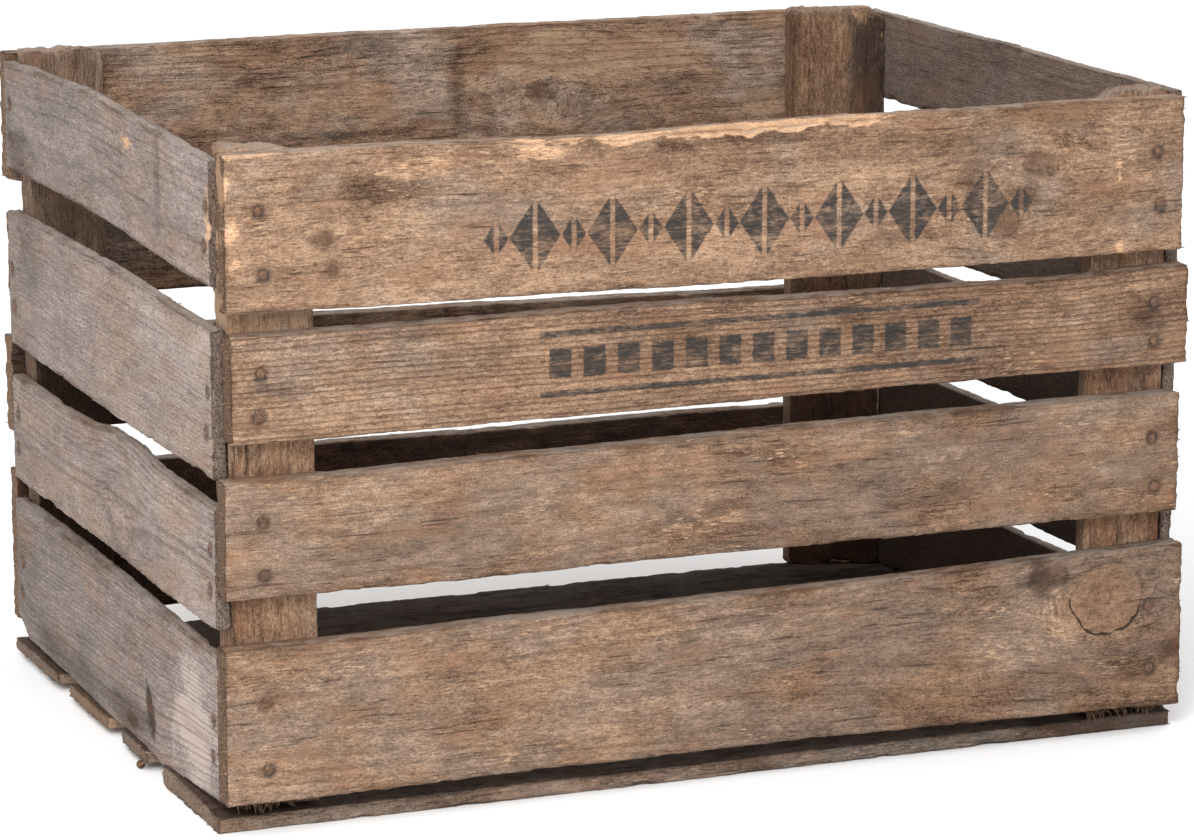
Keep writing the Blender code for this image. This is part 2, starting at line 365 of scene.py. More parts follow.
class Shader:
    """Short calls that build one material's nodes; each returns the socket it made."""

    def __init__(self, name):
        self.material = bpy.data.materials.new(name)
        self.material.use_nodes = True
        self.tree = self.material.node_tree
        self.surface = self.tree.nodes["Principled BSDF"]

    def node(self, kind, inputs=(), **settings):
        made = self.tree.nodes.new(kind)
        for key, value in settings.items():
            setattr(made, key, value)
        for key, value in dict(inputs).items():
            self.set(made.inputs[key], value)
        return made

    def set(self, socket, value):
        if isinstance(value, bpy.types.NodeSocket):
            self.tree.links.new(value, socket)
        else:
            socket.default_value = value

    def math(self, operation, a, b=0.0, clamp=False):
        made = self.node("ShaderNodeMath", {0: a, 1: b}, operation=operation, use_clamp=clamp)
        return made.outputs[0]

    def add(self, a, b):
        return self.math("ADD", a, b)

    def times(self, a, b):
        return self.math("MULTIPLY", a, b)

    def plus(self, start, parts):
        """start plus each (socket, weight) pair's product."""
        for socket, weight in parts:
            start = self.add(start, self.times(socket, weight))
        return start

    def mix(self, a, b, factor, blend="MIX"):
        made = self.node("ShaderNodeMix", data_type="RGBA", blend_type=blend, clamp_factor=True)
        self.set(made.inputs[0], factor)
        self.set(made.inputs[6], a)
        self.set(made.inputs[7], b)
        return made.outputs[2]

    def noise(self, vector, along_grain, across, detail, roughness=0.5, shift=0.0):
        """Noise with so many features to the metre along the grain and across it."""
        moved = self.node("ShaderNodeVectorMath", operation="MULTIPLY_ADD")
        self.set(moved.inputs[0], vector)
        moved.inputs[1].default_value = (along_grain, across, across)
        moved.inputs[2].default_value = (shift, shift * 1.7, shift * 0.6)
        made = self.node("ShaderNodeTexNoise", {"Vector": moved.outputs[0], "Scale": 1.0, "Detail": detail,
                                                "Roughness": roughness})
        return made.outputs["Fac"]

    def band(self, value, low, high, to_low=0.0, to_high=1.0):
        made = self.node("ShaderNodeMapRange", {"Value": value, "From Min": low, "From Max": high,
                                                "To Min": to_low, "To Max": to_high},
                         interpolation_type="SMOOTHSTEP", clamp=True)
        return made.outputs[0]

    def ramp(self, value, stops):
        made = self.node("ShaderNodeValToRGB", {"Fac": value})
        elements = made.color_ramp.elements
        while len(elements) < len(stops):
            elements.new(0.5)
        for element, (place, colour) in zip(elements, stops):
            element.position = place
            element.color = (colour, colour, colour, 1) if isinstance(colour, float) else (*colour, 1)
        return made.outputs["Color"]

    def attribute(self, name, output="Vector"):
        return self.node("ShaderNodeAttribute", attribute_name=name).outputs[output]

    def split(self, vector):
        return self.node("ShaderNodeSeparateXYZ", {"Vector": vector}).outputs[:3]

    def bump(self, height, distance, strength):
        made = self.node("ShaderNodeBump", {"Height": height, "Distance": distance, "Strength": strength})
        self.set(self.surface.inputs["Normal"], made.outputs["Normal"])

    def finish(self, inputs):
        """Sets the surface's sockets, and returns the material."""
        for key, value in inputs.items():
            self.set(self.surface.inputs[key], value)
        return self.material


def rgb(colour, factor=1.0):
    """A colour with alpha, its channels times one factor or times three."""
    return (*np.multiply(colour, factor).tolist(), 1.0)


RAW_WOOD, RAW_SHADE = (0.74, 0.47, 0.28), (0.44, 0.245, 0.14)  # freshly broken wood
# pale grey of upward faces: settled dirt together with a painted highlight on top edges
DUST_AND_HIGHLIGHT = (0.30, 0.25, 0.21)
GRIME_AND_SHADE = (0.17, 0.125, 0.10)  # what painted shade and real dirt leave of the colour under them
# near black inside the knot's crack: painted shade in the gap
CRACK_SHADE = (0.020, 0.013, 0.010)
INK = (0.029, 0.027, 0.026)
RUST, OLD_RUST = (0.105, 0.048, 0.026), (0.036, 0.026, 0.022)  # stains round the nails


def stencil_mask(s):
    """A plain letter-free stencil: a row of lozenges over a ruled band of blocks."""
    x, _, z = s.split(s.node("ShaderNodeTexCoord").outputs["Object"])
    wobble = s.noise(s.attribute("grain"), 300, 300, 2)
    edge = s.times(s.add(wobble, -0.5), mm(1.4))
    soft = mm(0.45)
    centre, row_level, band_level = mm(20), mm(269), mm(209)
    pitch, block_pitch = mm(38), mm(17)
    dx = s.add(x, -centre)
    from_centre = s.math("ABSOLUTE", dx)

    def within(value, half):
        return s.band(s.add(value, edge), half + soft, half - soft)

    def repeat(value, pitch):
        shifted = s.math("DIVIDE", value, pitch)
        return s.times(s.math("SUBTRACT", s.math("FRACT", s.add(shifted, 100.5)), 0.5), pitch)

    def lozenges(shift, half_width, half_height):
        """Lozenges with a bridge down their middles, as a cut stencil leaves."""
        across = s.math("ABSOLUTE", repeat(s.add(dx, shift), pitch))
        up = s.math("ABSOLUTE", s.add(z, -row_level))
        shape = within(s.add(across, s.times(up, half_width / half_height)), half_width)
        return s.times(shape, s.band(across, mm(0.8), mm(1.6)))

    big = lozenges(0.0, mm(12.5), mm(18))
    small = lozenges(pitch / 2, mm(6), mm(9))
    row = s.times(s.math("MAXIMUM", big, small), within(from_centre, mm(139.2)))
    level = s.math("ABSOLUTE", s.add(z, -band_level))
    rules = within(s.math("ABSOLUTE", s.add(level, -mm(14))), mm(1.4))
    rules = s.times(rules, within(from_centre, mm(112)))
    blocks = s.times(within(s.math("ABSOLUTE", repeat(dx, block_pitch)), mm(5.5)), within(level, mm(7)))
    blocks = s.times(blocks, within(from_centre, mm(110)))
    return s.math("MAXIMUM", row, s.math("MAXIMUM", rules, blocks))


def wood(name, tan, dark, pale, grey, dashes=1.0, flecks=1.0, patches=1.0, contrast=1.0, mottled=1.0,
         sawn_tone=1.0, ink=False):
    """Old sawn softwood: rings, fibres, dark checks, pale raised flecks, grey weathering and stains."""
    s = Shader(name)
    grain = s.attribute("grain")
    ring_number = s.attribute("rings", "Fac")
    knot, rust, edge = s.split(s.attribute("marks"))
    light, weather, raw = s.split(s.attribute("tone"))
    bold, soil, cut = s.split(s.attribute("state"))
    black = rgb(dark, 0.35)

    # Noise fields, from broad tonal patches down to single fibres.
    broad = s.noise(grain, 14, 34, 4, 0.62, 3.1)
    mottle = s.noise(grain, 85, 170, 4, 0.7, 15.1)
    streak = s.noise(grain, 34, 330, 3, 0.6, 5.3)
    fibre = s.noise(grain, 250, 1250, 3, 0.7, 7.7)
    speck = s.noise(grain, 900, 1500, 2, 0.6, 9.2)
    patch = s.noise(grain, 20, 34, 4, 0.6, 21.0)

    # Growth rings: each darkens slowly towards its late wood, then starts again.
    number = s.add(ring_number, s.times(s.noise(grain, 24, 260, 2, 0.6), 0.5))
    phase = s.math("FRACT", number)
    late = s.ramp(phase, [(0.0, 0.0), (0.45, 0.05), (0.84, 1.0), (0.98, 0.0)])
    vigour = s.node("ShaderNodeTexNoise", {"W": s.times(number, 0.53), "Scale": 1.0, "Detail": 1.0},
                    noise_dimensions="1D").outputs["Fac"]
    late = s.times(late, s.band(vigour, 0.32, 0.60, 0.25, 1.0))

    # One tone from all the fields picks the colour, and the silver grey where the wood has weathered.
    shares = ((broad, 0.25 * mottled), (streak, 0.10), (mottle, 0.24 * mottled), (fibre, 0.20), (speck, 0.25))
    # The light attribute shifts the whole tone: a painted gradient of light and shade along each board, plus
    # lighter and darker patches.
    tone = s.plus(s.times(light, 0.08 / contrast), [(s.add(field, -0.5), share) for field, share in shares])
    tone = s.add(tone, 0.5)
    mid = [0.55 * t + 0.45 * d for t, d in zip(tan, dark)]
    levels = ((-0.110, dark), (-0.040, mid), (0.020, tan), (0.125, pale))
    greys = ((-0.120, 0.42), (-0.045, 0.74), (0.020, 1.0), (0.125, 2.0))
    colour = s.ramp(tone, [(0.5 + offset / contrast, shade) for offset, shade in levels])
    silver = s.ramp(tone, [(0.5 + offset / contrast, [shade * g for g in grey]) for offset, shade in greys])
    faded = s.band(s.add(patch, s.times(weather, 0.22)), 0.48, 0.70)
    colour = s.mix(colour, silver, s.math("MULTIPLY", faded, 0.85 * patches, clamp=True))
    warm = s.band(s.noise(grain, 22, 60, 3, 0.55, 27.0), 0.52, 0.68)
    colour = s.mix(colour, rgb(tan, (1.15, 0.98, 0.85)), s.times(warm, 0.35))
    ring_line = s.times(late, s.add(s.times(bold, 0.75), s.times(fibre, 0.25)))
    ring_line = s.times(ring_line, s.band(knot, 0.36, 0.28, 0.35, 1.0))
    colour = s.mix(colour, rgb(dark, (0.85, 0.8, 0.8)), s.times(ring_line, 0.8))

    # Dark gaps between fibres, long fine checks and pale raised flecks.
    lines = s.band(fibre, 0.44, 0.30)
    colour = s.mix(colour, rgb(dark), s.times(lines, 0.5 * dashes))
    check = s.band(s.noise(grain, 38, 760, 2, 0.45, 13.0), 0.36, 0.30)
    check = s.times(check, s.band(broad, 0.62, 0.42))
    colour = s.mix(colour, black, s.times(check, 0.6 * dashes))
    fleck = s.band(s.noise(grain, 170, 900, 2, 0.5, 33.0), 0.60, 0.67)
    fleck = s.times(fleck, s.band(s.noise(grain, 20, 55, 2, 0.5, 31.0), 0.52, 0.66))
    off_knot = s.band(knot, 0.34, 0.20)
    colour = s.mix(colour, rgb(pale, 1.15), s.times(s.times(fleck, off_knot), 0.7 * flecks))

    # Knots: a smooth reddish heart with faint rings, a broken dark rim and perhaps a crack whose gap is
    # filled with painted shade.
    knot_ring = s.math("FRACT", s.add(s.times(knot, 7.0), s.times(mottle, 2.5)))
    knot_tone = s.add(s.times(knot_ring, 0.20), s.times(mottle, 0.80))
    heart = s.mix(rgb(tan, (0.88, 0.82, 0.82)), rgb(dark, 1.5), s.band(knot_tone, 0.42, 0.90))
    colour = s.mix(colour, heart, s.times(s.band(knot, 0.33, 0.40), 0.36))
    rim = s.times(s.band(knot, 0.27, 0.335), s.band(knot, 0.40, 0.345))
    rim = s.times(rim, s.band(mottle, 0.60, 0.42))
    colour = s.mix(colour, black, s.times(rim, 0.45))
    crack_offset, crack_strength, _ = s.split(s.attribute("crack"))
    ragged = s.add(s.math("ABSOLUTE", crack_offset), s.times(s.add(mottle, -0.5), mm(1.6)))
    crack_line = s.times(s.band(ragged, mm(0.50), mm(0.15)), s.band(crack_strength, 0.1, 0.7))
    # The crack line is coloured near black: painted shade inside the open gap.
    colour = s.mix(colour, rgb(CRACK_SHADE), s.times(crack_line, 0.9))

    # Rough end grain, chafed arrises, a pale film on upward faces that is settled dirt with a painted
    # highlight, dirt with painted shade on hidden faces, ink and rust.
    crumb = s.noise(grain, 800, 900, 3, 0.7, 51.0)
    sawn_levels = ((0.34, 0.35, dark), (0.46, 0.9, mid), (0.58, 0.9, tan), (0.72, 0.95, pale))
    sawn = s.ramp(crumb, [(place, [sawn_tone * share * c for c in shade])
                          for place, share, shade in sawn_levels])
    colour = s.mix(colour, sawn, s.times(cut, 0.9))
    torn = s.add(s.times(s.add(s.times(fibre, 0.5), s.times(mottle, 0.5)), 0.8), s.times(raw, 0.35))
    chafed = s.times(s.times(raw, s.band(torn, 0.50, 0.74)), s.add(s.times(cut, -0.5), 1.0))
    fresh = s.add(s.times(fibre, 0.5), s.times(speck, 0.5))
    colour = s.mix(colour, s.ramp(fresh, [(0.40, RAW_SHADE), (0.58, RAW_WOOD)]), s.times(chafed, 0.95))
    grubby = s.times(edge, s.band(patch, 0.55, 0.40))
    colour = s.mix(colour, rgb(dark, 0.6), s.times(grubby, 0.5))
    # Upward faces turn pale grey: partly settled dirt, partly a painted highlight along the top edges.
    up = s.split(s.node("ShaderNodeNewGeometry").outputs["Normal"])[2]
    dust_and_highlight = s.times(s.band(up, 0.55, 0.95), s.band(s.add(mottle, s.times(patch, 0.6)), 0.70, 0.92))
    colour = s.mix(colour, rgb(DUST_AND_HIGHLIGHT), s.times(dust_and_highlight, 0.55))
    # Painted shade on the crate's inner faces, together with real dirt, multiplies the colour darker.
    soiled = s.times(soil, s.band(s.add(mottle, s.times(soil, 0.40)), 0.30, 0.62))
    colour = s.mix(colour, s.mix(colour, rgb(GRIME_AND_SHADE), 1.0, "MULTIPLY"), soiled)
    if ink:
        worn = s.band(s.add(s.times(fibre, 0.6), mottle), 0.70, 0.98, 0.92, 0.48)
        print_here = s.times(s.times(stencil_mask(s), s.attribute("face", "Fac")), worn)
        colour = s.mix(colour, rgb(INK), print_here)
    stain = s.times(rust, s.band(s.add(mottle, s.times(rust, 0.20)), 0.38, 0.60))
    rust_colour = s.mix(rgb(RUST), rgb(OLD_RUST), s.band(mottle, 0.38, 0.54))
    colour = s.mix(colour, rust_colour, s.math("MULTIPLY", stain, 0.75, clamp=True))

    height = s.plus(s.times(ring_line, 0.6), (
        (fibre, 0.70), (streak, 0.40), (mottle, 0.55), (check, -0.5), (speck, 0.60), (crack_line, -2.0),
        (s.times(crumb, cut), 2.0)))
    s.bump(height, mm(1.0), 1.0)
    rough = s.band(s.add(fibre, s.times(late, 0.3)), 0.3, 0.8, 0.95, 0.75)
    return s.finish({"Base Color": colour, "Roughness": rough, "Specular IOR Level": 0.2})


STEEL_COLOURS = ((0.30, (0.050, 0.030, 0.022)), (0.45, (0.120, 0.064, 0.040)), (0.58, (0.210, 0.108, 0.062)),
                 (0.78, (0.22, 0.16, 0.12)))  # from bare dark steel to rust and worn spots
STEEL_PIT = (0.02, 0.014, 0.012)


def rusty_steel(name):
    """Old nail steel: nearly black-brown with orange rust blooms and worn grey spots."""
    s = Shader(name)
    place = s.node("ShaderNodeTexCoord").outputs["Object"]
    bloom = s.noise(place, 420, 420, 4, 0.65)
    grit = s.noise(place, 1900, 1900, 3, 0.6, 4.0)
    colour = s.ramp(bloom, STEEL_COLOURS)
    colour = s.mix(colour, rgb(STEEL_PIT), s.band(grit, 0.48, 0.34))
    s.bump(s.add(bloom, s.times(grit, 0.5)), mm(0.25), 0.8)
    rough = s.band(bloom, 0.35, 0.7, 0.62, 0.92)
    return s.finish({"Base Color": colour, "Roughness": rough, "Metallic": 0.35})


WOODS = {
    "front": wood("front_wood", (0.242, 0.144, 0.090), (0.066, 0.034, 0.019), (0.430, 0.282, 0.178),
                  (0.215, 0.150, 0.110), contrast=1.25, mottled=0.85, sawn_tone=0.85, ink=True),
    "back": wood("back_wood", (0.275, 0.164, 0.105), (0.064, 0.034, 0.020), (0.460, 0.302, 0.193),
                 (0.260, 0.190, 0.145), patches=1.1, contrast=1.7),
    "end": wood("end_wood", (0.256, 0.186, 0.148), (0.070, 0.046, 0.035), (0.430, 0.340, 0.280),
                (0.238, 0.194, 0.174), dashes=0.7, flecks=0.4, patches=1.1, contrast=1.3,
                mottled=0.45),
    "post": wood("post_wood", (0.240, 0.134, 0.080), (0.066, 0.031, 0.017), (0.400, 0.262, 0.165),
                 (0.205, 0.145, 0.106), flecks=0.3, patches=0.9, contrast=1.4),
    "floor": wood("floor_wood", (0.255, 0.172, 0.120), (0.068, 0.040, 0.027), (0.430, 0.310, 0.222),
                  (0.240, 0.190, 0.156), patches=1.0, contrast=1.3, sawn_tone=1.2),
}
STEEL = rusty_steel("rusty_steel")

# ---- The boards of the crate

X, Y, Z = 0, 1, 2
WALL_AXES = {
    "front": ((X, 1), (Z, 1), (Y, -1)),
    "back": ((X, 1), (Z, 1), (Y, 1)),
    "left": ((Y, 1), (Z, 1), (X, -1)),
    "right": ((Y, 1), (Z, 1), (X, 1)),
    "floor": ((X, 1), (Y, 1), (Z, -1)),
    "post_front": ((Z, 1), (X, 1), (Y, -1)),
    "post_back": ((Z, 1), (X, 1), (Y, 1)),
}
WALL_WOOD = {"front": "front", "back": "back", "left": "end", "right": "end"}
# How many splinters a slat has, and the share of them at its ends.
WALL_SLIVERS = {"front": (60, 0.75), "back": (30, 0.5), "left": (16, 0.5), "right": (16, 0.5)}
SLIVER_LENGTHS = (2, 6)  # in millimetres
GRUBBY_REACH = mm(2.2)  # how far from an arris hands have left it grubby
nails = {"front": [], "back": [], "left": [], "right": [], "floor": []}


def add_slivers(board, count, points, quads, fields, at_ends):
    """Splinters along the long arrises and frayed fibres at the ends, added to the board's mesh."""
    chance = np.random.default_rng(board.seed + 900)
    near_edge = np.nonzero((board.edge < mm(1.2)) & (board.end > mm(6)))[0]
    near_end = np.nonzero((board.end < mm(0.8)))[0]
    meshes, picks = [(points, quads)], [np.arange(len(points))]
    for _ in range(count):
        at_end = chance.random() < at_ends
        pick = chance.choice(near_end if at_end else near_edge)
        normal = board.normal[pick] @ board.rotation
        grain_way = board.rotation[0] * (1 if chance.random() < 0.5 else -1)
        if at_end:
            grain_way = board.rotation[0] * (-1 if board.rest[pick, 0] < board.size[0] / 2 else 1)
            normal = chance.normal(size=3)
            normal -= grain_way * (normal @ grain_way)
            normal /= np.linalg.norm(normal)
        length = mm(chance.uniform(*SLIVER_LENGTHS)) * (0.45 if at_end else 1.0)
        width = mm(chance.uniform(0.35, 0.9))
        tilt = grain_way + normal * chance.uniform(-0.02, 0.16) + chance.normal(size=3) * 0.03
        p, q = sliver(points[pick] - normal * mm(0.15), tilt, normal, length, width, width * 0.5)
        if p[:, 2].min() >= 0:
            meshes.append((p, q))
            picks.append(np.full(len(p), pick))
    chosen = np.concatenate(picks)
    fields = {key: values[chosen] for key, values in fields.items()}
    all_points, all_quads = join(meshes)
    new = np.arange(len(points), len(all_points))
    fields["grain"][new] += (all_points[new] - all_points[chosen[new]]) @ board.rotation.T
    fields["tone"][new, 2] = np.repeat(chance.uniform(0.0, 0.7, len(meshes) - 1), SLIVER_STEPS * 4)
    fields["state"][new, 2] = 0.0
    fields["crack"][new, 1] = 0.0
    return all_points, all_quads, fields


def finish_board(board, wood_name, grain, rings, slivers, sliver_ends=0.5, light=(0, 0), weather=0.0,
                 bold=0.3, soil=0.0, low_soil=1.0, pale_top=False):
    """Turns the worked board into an object with its grain, marks and tone attributes.

    slivers is their number and sliver_ends the share of them at the board's ends.  light is the
    tone at the board's start and stop, a painted gradient of light and shade along the board;
    soil and low_soil say how much painted shade and real dirt darken its
    hidden face near the rim of the crate and near the ground.
    """
    points = board.to_crate(board.points)
    points[:, 2] = np.maximum(points[:, 2], 0)
    quads = board.quads[:, ::-1] if board.flip else board.quads
    edge = bell(board.edge, GRUBBY_REACH)
    low = smooth(points[:, 2] / CAD_BOX[1][2], 0.95, 0.35)
    inner = np.clip(1 - board.rest[:, 2] / board.size[2], 0, 1)
    share = board.rest[:, 0] / board.size[0]
    marks = board.marks
    cut = (np.abs(board.normal[:, 0]) > 0.5).astype(float)
    if pale_top:
        top = smooth(board.rest[:, 0], board.size[0] - mm(3), board.size[0])
        cut *= 1 - 0.75 * top
        marks["light"] += 1.1 * top
        marks["weather"] += 1.4 * top
    # light paints light and shade along the board as a tone gradient; the marks add lighter and darker
    # patches.
    tone = light[0] + (light[1] - light[0]) * share + marks["light"]
    # Painted shade on the hidden faces, stronger towards the ground, mixed with real dirt; the stain marks
    # add real dirt.
    grime_and_shade = inner * (0.35 + 0.65 * np.abs(board.normal[:, 2])) * (1 - cut) * (soil + (low_soil - soil) * low)
    grime_and_shade = np.clip(grime_and_shade + marks["soil"], 0, 1)
    fields = {
        "grain": grain,
        "rings": rings,
        "marks": np.stack([marks["knot"], marks["rust"], edge], 1),
        "tone": np.stack([tone, weather + marks["weather"], np.clip(marks["raw"], 0, 1)], 1),
        "state": np.stack([np.full(len(points), bold), grime_and_shade, cut], 1),
        "crack": np.concatenate([board.crack, np.zeros((len(points), 1))], 1),
        "face": (board.normal[:, 2] > 0.5).astype(float),
    }
    points, quads, fields = add_slivers(board, slivers, points, quads, fields, sliver_ends)
    make_object(board.node + "_wood", points, quads, WOODS[wood_name], [board.node], fields)


def nail_place(board, node):
    """A CAD nail's place on its board, in the board's own u and v."""
    low, high = corners(node)
    local = ((low + high) / 2 - board.origin) @ board.rotation.T
    return local[0], local[1]


def slat(wall, number, seed, pith, spacing, second=(19, 19), taper=0.0, wobble=1.0, knots=(), top=(),
         bottom=(), ends=1.0, shape=None, stains=(), slivers=None, **looks):
    """One slat of a wall with its two nails at each end; all lengths are in millimetres.

    second is how far below each end's CAD nail its other nail is.  A stain is what
    Board.stain takes.
    """
    node = f"{wall}_slat_{number}"
    board = Board(node, WALL_AXES[wall], seed, FINE if wall in ("front", "left") else COARSE)
    grain, rings = grain_fields(board, pith, spacing, taper, wobble, knots)
    board.profile(top, bottom)
    board.wear(ends=ends)
    sides = ("left", "right") if wall in ("front", "back") else ("front", "back")
    places = []
    for side, drop in zip(sides, second):
        u, v = nail_place(board, f"nail_{node}_{side}")
        inward = v - mm(drop) if v - mm(drop) > mm(6) else v + mm(drop)
        jitter = along(np.array([seed * 0.7 + len(side)]), 0.1, 77)[0]
        places += [(u, v), (u + mm(3) * jitter, inward)]
    if shape:
        shape(board)
    for u, v in places:
        board.dent(u, v)
        nails[wall].append((board, u, v))
    for stain in stains:
        board.stain(*stain)
    count, at_ends = WALL_SLIVERS[wall]
    finish_board(board, WALL_WOOD[wall], grain, rings, slivers or count, at_ends, **looks)


def worn_corners(board):
    """The lowest end slat has lost its back lower corner, and its front top corner is rounded off."""
    u, v, _ = board.rest.T
    length, width, _ = board.size
    board.points[:, 1] += smooth(v, width * 0.5, 0) * smooth(u, length - mm(24), length - mm(4)) * mm(8)
    rounded = smooth(u, mm(26), 0) * smooth(v, width - mm(22), width)
    board.points[:, 1] -= rounded * mm(3)
    board.points[:, 2] -= rounded * mm(2)
    board.marks["raw"] += 0.5 * rounded


def broken_top(board):
    """The top slat's upper arris is split away near the middle, and its left end is chipped."""
    board.break_edge(mm(120), mm(335), mm(6.5), 711)
    board.break_edge(mm(-30), mm(50), mm(1.6), 713)
    chips = smooth(noise(board.rest, (mm(5), mm(11), mm(6)), 712, 2), 0.0, 0.5)
    board.marks["raw"] += smooth(board.rest[:, 0], mm(7), 0) * chips


def knot_crack(board):
    """The big knot has shrunk away from the wood along its lower side."""
    board.arc_crack(mm(449), mm(56), mm(19), 160, 352)


slat("front", 1, 101, (16, -48), 1.7, (29, 25), taper=0.010, wobble=1.6, light=(0.52, 0.18), bold=0.22,
     slivers=70, shape=broken_top,
     knots=[
         (403, 45, 6, 13, False), (388, 19, 7, 11, False), (47, 33, 3.2, 5, False), (51, 18, 2.8, 5, False)],
     top=[(60, 0), (125, -1.2), (195, -2.4), (245, -1.0), (300, 0)],
     bottom=[(0, 0), (108, -1.4), (190, -1.9), (275, -3.2), (470, -2.8)],
     stains=[
      ("light", 75, 50, 26, 9, -0.9), ("light", 250, 66, 45, 6, -1.1), ("soil", 47, 32, 7, 6, 0.60),
      ("soil", 51, 18, 7, 5, 0.55), ("weather", 390, 30, 26, 34, 0.8), ("soil", 406, 43, 11, 9, 0.60),
      ("soil", 398, 30, 9, 8, 0.50), ("soil", 388, 19, 8, 9, 0.50), ("soil", 368, 40, 8, 9, 0.50),
      ("light", 418, 60, 22, 8, -1.0), ("soil", 330, 55, 60, 7, 0.25), ("raw", 92, 62, 30, 7, 0.55),
      ("raw", 150, 66, 22, 4, 0.7), ("raw", 448, 41, 2, 9, 0.8), ("raw", 449, 4, 3, 5, 0.8),
      ("raw", 4, 38, 5, 7, 0.85), ("raw", 6, 22, 5, 5, 0.8), ("raw", 3, 62, 4, 6, 0.5),
      ("weather", 150, 40, 60, 16, 0.5)])
slat("front", 2, 102, (-120, -60), 2.35, wobble=0.8, light=(0.35, -0.32), bold=0.85,
     top=[(240, 0), (300, -1.4), (375, -1.9), (425, -2.4), (478, 0)],
     bottom=[(0, -2.3), (60, -2.3), (160, -1.6), (325, -0.5), (480, -0.7)],
     stains=[
      ("weather", 25, 24, 18, 8, 1.2), ("soil", 22, 23, 14, 4, 0.5), ("light", 452, 20, 24, 20, -0.6),
      ("soil", 462, 26, 12, 6, 0.6)])
slat("front", 3, 103, (22, -34), 1.6, (26, 24), taper=0.012, wobble=1.3, light=(0.05, -0.38), weather=0.5,
     bold=0.25,
     top=[(0, -3.3), (77, -3.3), (127, -2.4), (225, -1.4), (330, 0), (425, 0.8)],
     bottom=[(0, 0), (250, 0.4), (380, 0.9), (480, 0.4)],
     stains=[("raw", 235, 18, 46, 7, 0.4), ("raw", 164, 12, 34, 5, 0.4), ("light", 60, 40, 40, 16, 0.4)])
slat("front", 4, 104, (34, -60), 1.7, (33, 31), taper=-0.014, wobble=1.7, light=(0.2, -0.3), weather=0.5,
     ends=0.5, shape=knot_crack, knots=[(449, 55, 19, 19, True), (424, 52, 3.0, 4, False)],
     top=[(0, -3.8), (77, -3.8), (127, -2.4), (225, -1.9), (330, -1.4), (377, -0.5), (478, 2.8)],
     bottom=[(27, 0), (127, 0.9), (277, 1.3), (400, 0), (478, -1.4)],
     stains=[
      ("soil", 414, 68, 15, 11, 0.75), ("weather", 414, 70, 20, 14, 1.0), ("light", 420, 36, 26, 10, 0.4),
      ("rust", 486, 28, 5, 4, 1.2), ("soil", 486, 28, 6, 5, 0.6), ("light", 470, 24, 20, 14, -0.5),
      ("weather", 250, 50, 60, 14, 0.8)])
slat("back", 1, 201, (30, -46), 1.8, taper=0.012, wobble=1.8, light=(0.1, 0.95), weather=0.1, bold=0.4,
     soil=0.2, bottom=[(0, 8), (10, 6), (20, 0)],
     knots=[(292, 38, 5, 16, True), (305, 27, 4, 9, True)],
     stains=[
      ("soil", 245, 44, 5, 24, 0.45, True), ("light", 262, 36, 26, 10, -0.6, True),
      ("weather", 225, 52, 22, 30, 1.4, True), ("weather", 420, 50, 60, 20, 0.8, True),
      ("soil", 292, 36, 12, 9, 0.5, True), ("raw", 120, 56, 16, 5, 0.4, True),
      ("light", 120, 20, 90, 8, -1.0, True)])
slat("back", 2, 202, (38, -52), 2.0, taper=0.012, wobble=1.6, weather=0.4, knots=[(260, 26, 6, 6, True)])
slat("back", 3, 203, (47, -58), 2.2, taper=-0.012, wobble=1.6, light=(-0.1, -0.1), weather=0.4,
     knots=[(345, 26, 6, 6, True)], top=[(0, 3.0), (170, 2.6), (240, 1.5), (328, 0), (400, -1.7)])
slat("back", 4, 204, (56, -64), 2.3, taper=0.012, wobble=1.6, light=(-0.1, -0.1), weather=0.4,
     knots=[(430, 26, 6, 6, True)])
slat("left", 1, 301, (20, -50), 1.6, light=(0.3, -0.2), weather=0.6, bold=0.4,
     top=[(12, -1.0), (92, 0.5), (132, 1.5), (212, 4.0), (290, 2.0), (345, 0)],
     bottom=[(50, -0.5), (92, 1.0), (132, 2.5), (172, 4.0), (212, 4.5), (345, 4.0)],
     stains=[
      ("soil", 318, 8, 34, 14, 0.5), ("light", 80, 40, 6, 26, -0.7), ("raw", 128, 46, 11, 4, 0.85),
      ("raw", 4, 28, 5, 26, 0.7), ("weather", 250, 30, 90, 24, 0.8)])
slat("left", 2, 302, (80, -30), 1.8, light=(0.6, 0.1), weather=0.5, bold=0.35,
     top=[(52, 0), (132, 1.5), (172, 2.0), (330, 1.5)],
     bottom=[(52, -1.5), (92, -2.2), (172, -2.5), (252, -1.0), (330, -0.5)],
     stains=[("light", 300, 50, 26, 22, -0.8), ("weather", 260, 24, 70, 30, 1.0), ("raw", 3, 40, 3, 26, 0.4)])
slat("left", 3, 303, (10, -40), 2.0, light=(0.5, 0.1), weather=0.4, bold=0.5,
     knots=[(150, 16, 2.5, 12, False)],
     top=[(0, -2.0), (92, -1.8), (112, 0.2), (128, 2.0), (176, 1.5), (206, -2.2), (250, -4.0), (340, -3.5)],
     bottom=[(50, -2.5), (92, -3.0), (132, -2.0), (172, -1.0), (250, -2.0)])
